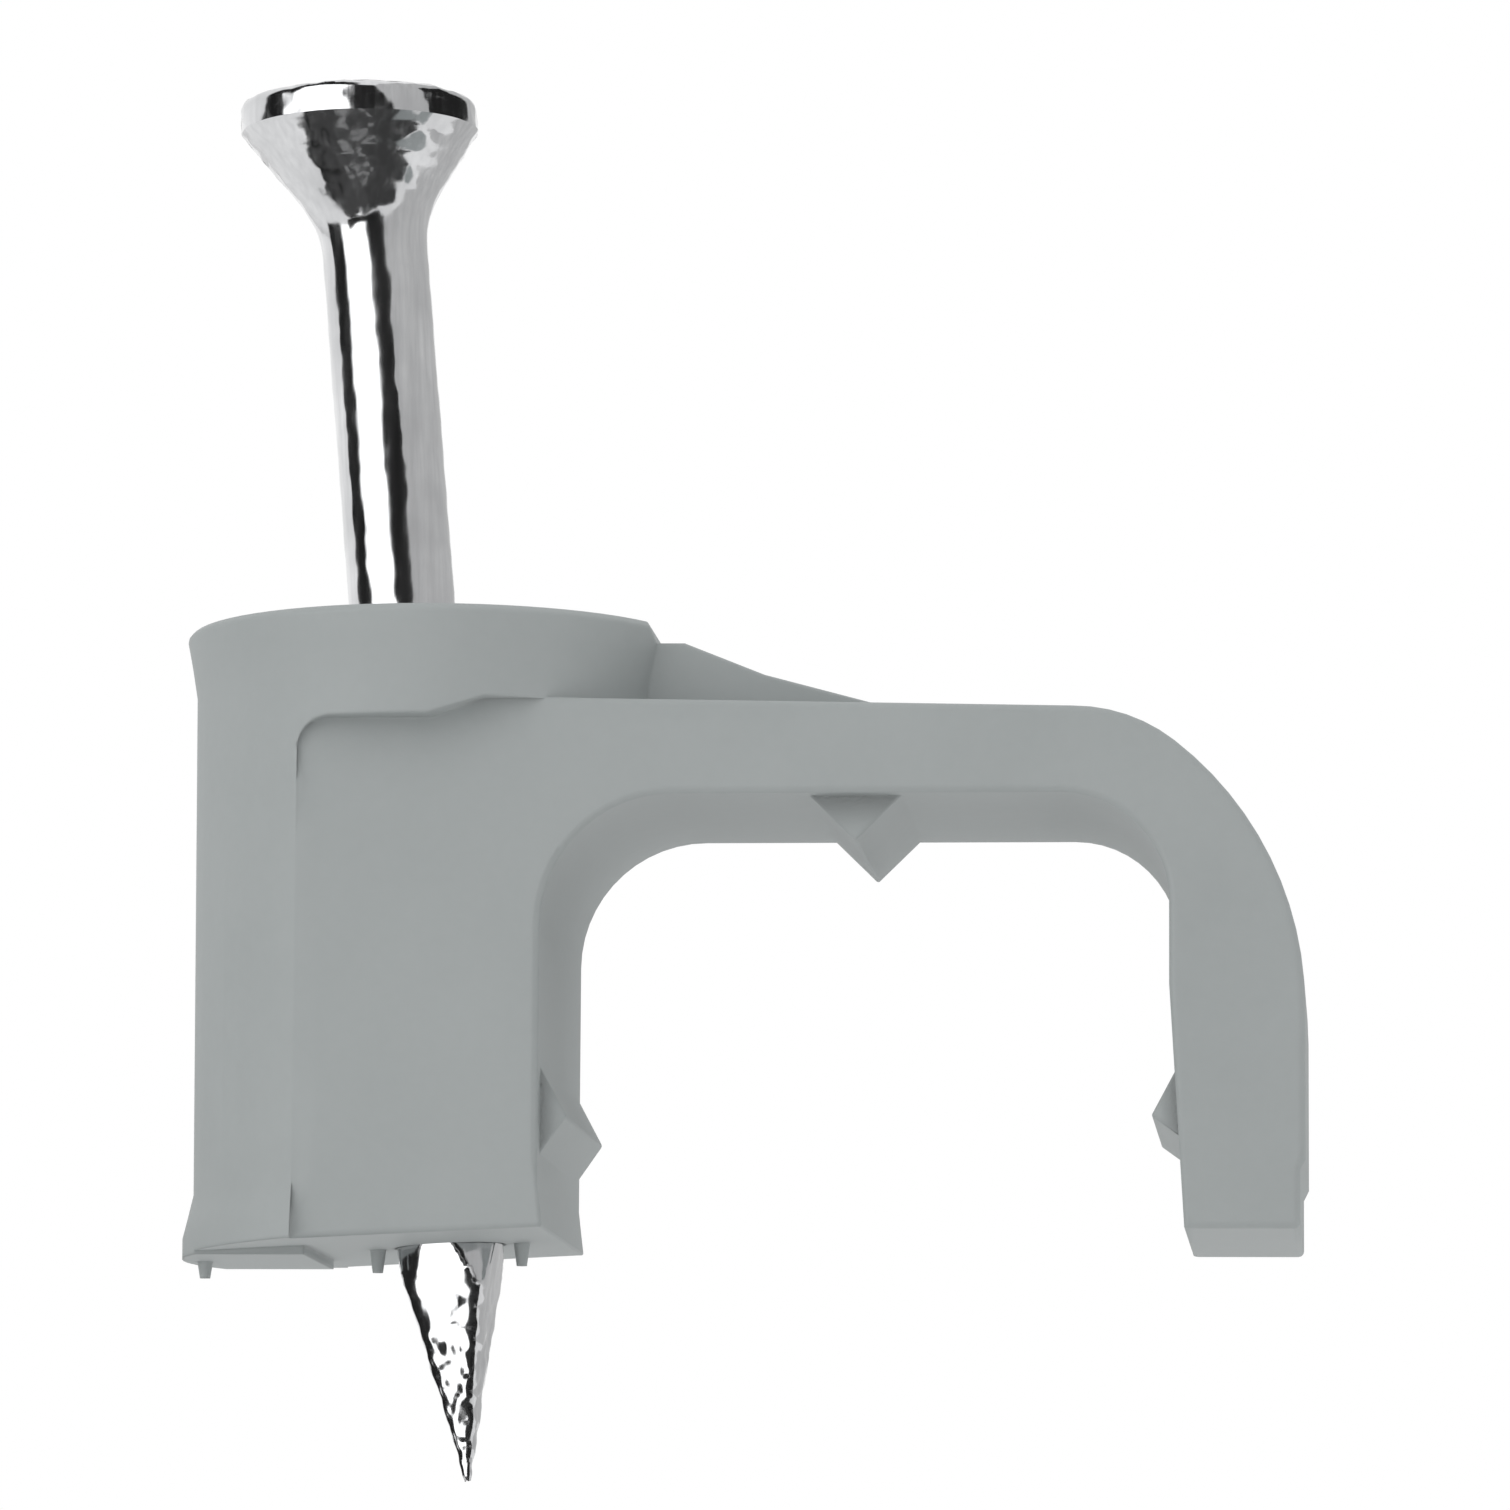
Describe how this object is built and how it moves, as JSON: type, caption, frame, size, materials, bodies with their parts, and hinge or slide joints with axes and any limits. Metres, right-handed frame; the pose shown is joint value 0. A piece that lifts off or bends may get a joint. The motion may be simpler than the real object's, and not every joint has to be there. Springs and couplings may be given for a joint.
{
  "type": "nail-in cable clip",
  "caption": "Grey plastic clip that arches over a flat cable, with a round boss that guides a countersunk steel nail into the wall.",
  "frame": {"origin": "where the nail's axis meets the wall plane", "axes": "+Z out of the wall, +X from the boss across the cable to the free leg, +Y along the cable"},
  "size_m": [0.0218, 0.0098, 0.0272],
  "materials": {
    "clip_plastic": "satin moulded grey polyethylene",
    "nail_plate": "bright zinc plate on drawn wire"
  },
  "bodies": {
    "clip": {"clip_body": "clip_plastic"},
    "nail": {"nail": "nail_plate"}
  },
  "joints": [
    {"name": "nail_drive", "type": "slide", "parent": "clip", "child": "nail", "axis": [0.0872, 0, -0.9962], "range_m": [0, 0.0072]}
  ]
}
